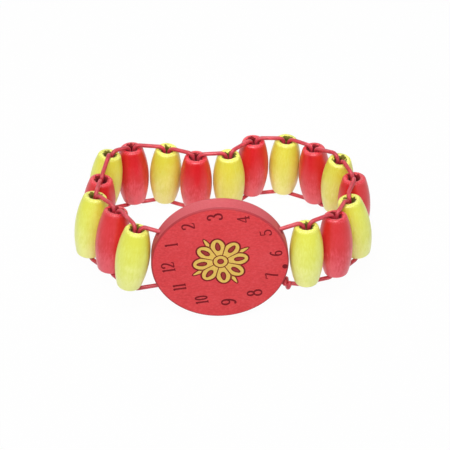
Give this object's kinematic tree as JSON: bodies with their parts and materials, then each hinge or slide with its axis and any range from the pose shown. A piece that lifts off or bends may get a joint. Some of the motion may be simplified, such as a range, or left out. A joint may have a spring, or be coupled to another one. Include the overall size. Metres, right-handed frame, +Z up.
{
  "type": "toy watch",
  "caption": "Child's wooden toy watch: a round printed dial between oval wooden beads, laced into a flexible bracelet by one elastic cord.",
  "frame": {"origin": "on the table, under the middle of the watch's box", "axes": "+Z up, -Y towards the reader of the dial, +X to the reader's right"},
  "size_m": [0.072, 0.046, 0.032],
  "materials": {
    "dial_red": "matt red paint",
    "bead_red": "satin red paint",
    "bead_yellow": "satin yellow paint",
    "cord_red": "smooth elastic cord"
  },
  "bodies": {
    "dial": {"dial": "dial_red", "dial_cord": "cord_red", "cord_knot": "cord_red"},
    "link_01": {"cord_link_01": "cord_red"},
    "link_02": {"cord_link_02": "cord_red"},
    "link_03": {"cord_link_03": "cord_red"},
    "link_04": {"cord_link_04": "cord_red"},
    "link_05": {"cord_link_05": "cord_red"},
    "link_06": {"cord_link_06": "cord_red"},
    "link_07": {"cord_link_07": "cord_red"},
    "link_08": {"cord_link_08": "cord_red"},
    "link_09": {"cord_link_09": "cord_red"},
    "link_10": {"cord_link_10": "cord_red"},
    "link_11": {"cord_link_11": "cord_red"},
    "link_12": {"cord_link_12": "cord_red"},
    "link_13": {"cord_link_13": "cord_red"},
    "link_14": {"cord_link_14": "cord_red"},
    "link_15": {"cord_link_15": "cord_red"},
    "link_16": {"cord_link_16": "cord_red"},
    "bead_01": {"bead_01": "bead_yellow"},
    "bead_02": {"bead_02": "bead_red"},
    "bead_03": {"bead_03": "bead_yellow"},
    "bead_04": {"bead_04": "bead_red"},
    "bead_05": {"bead_05": "bead_yellow"},
    "bead_06": {"bead_06": "bead_red"},
    "bead_07": {"bead_07": "bead_yellow"},
    "bead_08": {"bead_08": "bead_red"},
    "bead_09": {"bead_09": "bead_yellow"},
    "bead_10": {"bead_10": "bead_red"},
    "bead_11": {"bead_11": "bead_yellow"},
    "bead_12": {"bead_12": "bead_red"},
    "bead_13": {"bead_13": "bead_yellow"},
    "bead_14": {"bead_14": "bead_red"},
    "bead_15": {"bead_15": "bead_yellow"},
    "bead_16": {"bead_16": "bead_red"},
    "bead_17": {"bead_17": "bead_yellow"}
  },
  "joints": [
    {"name": "flex_at_bead_01", "type": "hinge", "parent": "dial", "child": "link_01", "pos_m": [0.01869, -0.01713, 0.01669], "axis": [-0.0482, 0.2587, 0.9647], "range_deg": [-19.6, 19.6]},
    {"name": "flex_at_bead_02", "type": "hinge", "parent": "link_01", "child": "link_02", "pos_m": [0.02598, -0.01339, 0.01567], "axis": [-0.0652, 0.3082, 0.9491], "range_deg": [-3.6, 3.6]},
    {"name": "flex_at_bead_03", "type": "hinge", "parent": "link_02", "child": "link_03", "pos_m": [0.03105, -0.00698, 0.01454], "axis": [-0.2166, 0.2368, 0.9471], "range_deg": [-2.5, 2.5]},
    {"name": "flex_at_bead_04", "type": "hinge", "parent": "link_03", "child": "link_04", "pos_m": [0.03191, 0.00114, 0.01331], "axis": [-0.0656, 0.2417, 0.9681], "range_deg": [-18, 18]},
    {"name": "flex_at_bead_05", "type": "hinge", "parent": "link_04", "child": "link_05", "pos_m": [0.02854, 0.00871, 0.01264], "axis": [0.0038, 0.0883, 0.9961], "range_deg": [-7.8, 7.8]},
    {"name": "flex_at_bead_06", "type": "hinge", "parent": "link_05", "child": "link_06", "pos_m": [0.0236, 0.01484, 0.00979], "axis": [-0.083, 0.1734, 0.9814], "range_deg": [-1.4, 1.4]},
    {"name": "flex_at_bead_07", "type": "hinge", "parent": "link_06", "child": "link_07", "pos_m": [0.01638, 0.01876, 0.00902], "axis": [0.0039, 0.1396, 0.9902], "range_deg": [-10.8, 10.8]},
    {"name": "flex_at_bead_08", "type": "hinge", "parent": "link_07", "child": "link_08", "pos_m": [0.00815, 0.01821, 0.00919], "axis": [0.0039, 0.1739, 0.9848], "range_deg": [-10.3, 10.3]},
    {"name": "flex_at_bead_17", "type": "hinge", "parent": "dial", "child": "link_16", "pos_m": [-0.02181, -0.01719, 0.01614], "axis": [0.141, 0.2726, 0.9517], "range_deg": [-3.4, 3.4]},
    {"name": "flex_at_bead_16", "type": "hinge", "parent": "link_16", "child": "link_15", "pos_m": [-0.02661, -0.01061, 0.01484], "axis": [0.1232, 0.3537, 0.9272], "range_deg": [-13.1, 13.1]},
    {"name": "flex_at_bead_15", "type": "hinge", "parent": "link_15", "child": "link_14", "pos_m": [-0.03175, -0.00438, 0.01312], "axis": [0.1401, 0.3372, 0.931], "range_deg": [-16.9, 16.9]},
    {"name": "flex_at_bead_14", "type": "hinge", "parent": "link_14", "child": "link_13", "pos_m": [-0.03025, 0.00349, 0.01114], "axis": [0.1076, 0.2068, 0.9725], "range_deg": [-20.8, 20.8]},
    {"name": "flex_at_bead_13", "type": "hinge", "parent": "link_13", "child": "link_12", "pos_m": [-0.02878, 0.01175, 0.01095], "axis": [0.1575, 0.2719, 0.9494], "range_deg": [-7.6, 7.6]},
    {"name": "flex_at_bead_12", "type": "hinge", "parent": "link_12", "child": "link_11", "pos_m": [-0.02206, 0.01621, 0.00887], "axis": [-0.0309, 0.2081, 0.9776], "range_deg": [-3.2, 3.2]},
    {"name": "flex_at_bead_11", "type": "hinge", "parent": "link_11", "child": "link_10", "pos_m": [-0.01383, 0.01579, 0.00924], "axis": [0.0385, 0.1223, 0.9917], "range_deg": [-4.3, 4.3]},
    {"name": "flex_at_bead_10", "type": "hinge", "parent": "link_10", "child": "link_09", "pos_m": [-0.00631, 0.01241, 0.00973], "axis": [-0.0135, 0.1567, 0.9876], "range_deg": [-3.4, 3.4]},
    {"name": "spin_bead_01", "type": "hinge", "parent": "dial", "child": "bead_01", "pos_m": [0.01869, -0.01713, 0.01669], "axis": [-0.0482, 0.2587, 0.9647], "continuous": true},
    {"name": "spin_bead_02", "type": "hinge", "parent": "link_01", "child": "bead_02", "pos_m": [0.02598, -0.01339, 0.01567], "axis": [-0.0652, 0.3082, 0.9491], "continuous": true},
    {"name": "spin_bead_03", "type": "hinge", "parent": "link_02", "child": "bead_03", "pos_m": [0.03105, -0.00698, 0.01454], "axis": [-0.2166, 0.2368, 0.9471], "continuous": true},
    {"name": "spin_bead_04", "type": "hinge", "parent": "link_03", "child": "bead_04", "pos_m": [0.03191, 0.00114, 0.01331], "axis": [-0.0656, 0.2417, 0.9681], "continuous": true},
    {"name": "spin_bead_05", "type": "hinge", "parent": "link_04", "child": "bead_05", "pos_m": [0.02854, 0.00871, 0.01264], "axis": [0.0038, 0.0883, 0.9961], "continuous": true},
    {"name": "spin_bead_06", "type": "hinge", "parent": "link_05", "child": "bead_06", "pos_m": [0.0236, 0.01484, 0.00979], "axis": [-0.083, 0.1734, 0.9814], "continuous": true},
    {"name": "spin_bead_07", "type": "hinge", "parent": "link_06", "child": "bead_07", "pos_m": [0.01638, 0.01876, 0.00902], "axis": [0.0039, 0.1396, 0.9902], "continuous": true},
    {"name": "spin_bead_08", "type": "hinge", "parent": "link_07", "child": "bead_08", "pos_m": [0.00815, 0.01821, 0.00919], "axis": [0.0039, 0.1739, 0.9848], "continuous": true},
    {"name": "spin_bead_09", "type": "hinge", "parent": "link_08", "child": "bead_09", "pos_m": [0.00193, 0.01281, 0.00984], "axis": [-0.031, 0.1567, 0.9872], "continuous": true},
    {"name": "spin_bead_10", "type": "hinge", "parent": "link_10", "child": "bead_10", "pos_m": [-0.00631, 0.01241, 0.00973], "axis": [-0.0135, 0.1567, 0.9876], "continuous": true},
    {"name": "spin_bead_11", "type": "hinge", "parent": "link_11", "child": "bead_11", "pos_m": [-0.01383, 0.01579, 0.00924], "axis": [0.0385, 0.1223, 0.9917], "continuous": true},
    {"name": "spin_bead_12", "type": "hinge", "parent": "link_12", "child": "bead_12", "pos_m": [-0.02206, 0.01621, 0.00887], "axis": [-0.0309, 0.2081, 0.9776], "continuous": true},
    {"name": "spin_bead_13", "type": "hinge", "parent": "link_13", "child": "bead_13", "pos_m": [-0.02878, 0.01175, 0.01095], "axis": [0.1575, 0.2719, 0.9494], "continuous": true},
    {"name": "spin_bead_14", "type": "hinge", "parent": "link_14", "child": "bead_14", "pos_m": [-0.03025, 0.00349, 0.01114], "axis": [0.1076, 0.2068, 0.9725], "continuous": true},
    {"name": "spin_bead_15", "type": "hinge", "parent": "link_15", "child": "bead_15", "pos_m": [-0.03175, -0.00438, 0.01312], "axis": [0.1401, 0.3372, 0.931], "continuous": true},
    {"name": "spin_bead_16", "type": "hinge", "parent": "link_16", "child": "bead_16", "pos_m": [-0.02661, -0.01061, 0.01484], "axis": [0.1232, 0.3537, 0.9272], "continuous": true},
    {"name": "spin_bead_17", "type": "hinge", "parent": "dial", "child": "bead_17", "pos_m": [-0.02181, -0.01719, 0.01614], "axis": [0.141, 0.2726, 0.9517], "continuous": true}
  ],
  "couplings": [
    {"joint": "flex_at_bead_01", "follows": "flex_at_bead_04", "ratio": -1.0831},
    {"joint": "flex_at_bead_02", "follows": "flex_at_bead_04", "ratio": 0.1948},
    {"joint": "flex_at_bead_03", "follows": "flex_at_bead_04", "ratio": 0.1349},
    {"joint": "flex_at_bead_05", "follows": "flex_at_bead_04", "ratio": 0.4303},
    {"joint": "flex_at_bead_06", "follows": "flex_at_bead_04", "ratio": 0.0709},
    {"joint": "flex_at_bead_07", "follows": "flex_at_bead_04", "ratio": -0.5929},
    {"joint": "flex_at_bead_08", "follows": "flex_at_bead_04", "ratio": -0.5674},
    {"joint": "flex_at_bead_17", "follows": "flex_at_bead_04", "ratio": 0.1858},
    {"joint": "flex_at_bead_16", "follows": "flex_at_bead_04", "ratio": 0.7227},
    {"joint": "flex_at_bead_15", "follows": "flex_at_bead_04", "ratio": -0.9357},
    {"joint": "flex_at_bead_14", "follows": "flex_at_bead_04", "ratio": -1.1513},
    {"joint": "flex_at_bead_13", "follows": "flex_at_bead_04", "ratio": 0.4181},
    {"joint": "flex_at_bead_12", "follows": "flex_at_bead_04", "ratio": 0.1702},
    {"joint": "flex_at_bead_11", "follows": "flex_at_bead_04", "ratio": 0.2317},
    {"joint": "flex_at_bead_10", "follows": "flex_at_bead_04", "ratio": 0.1861}
  ]
}
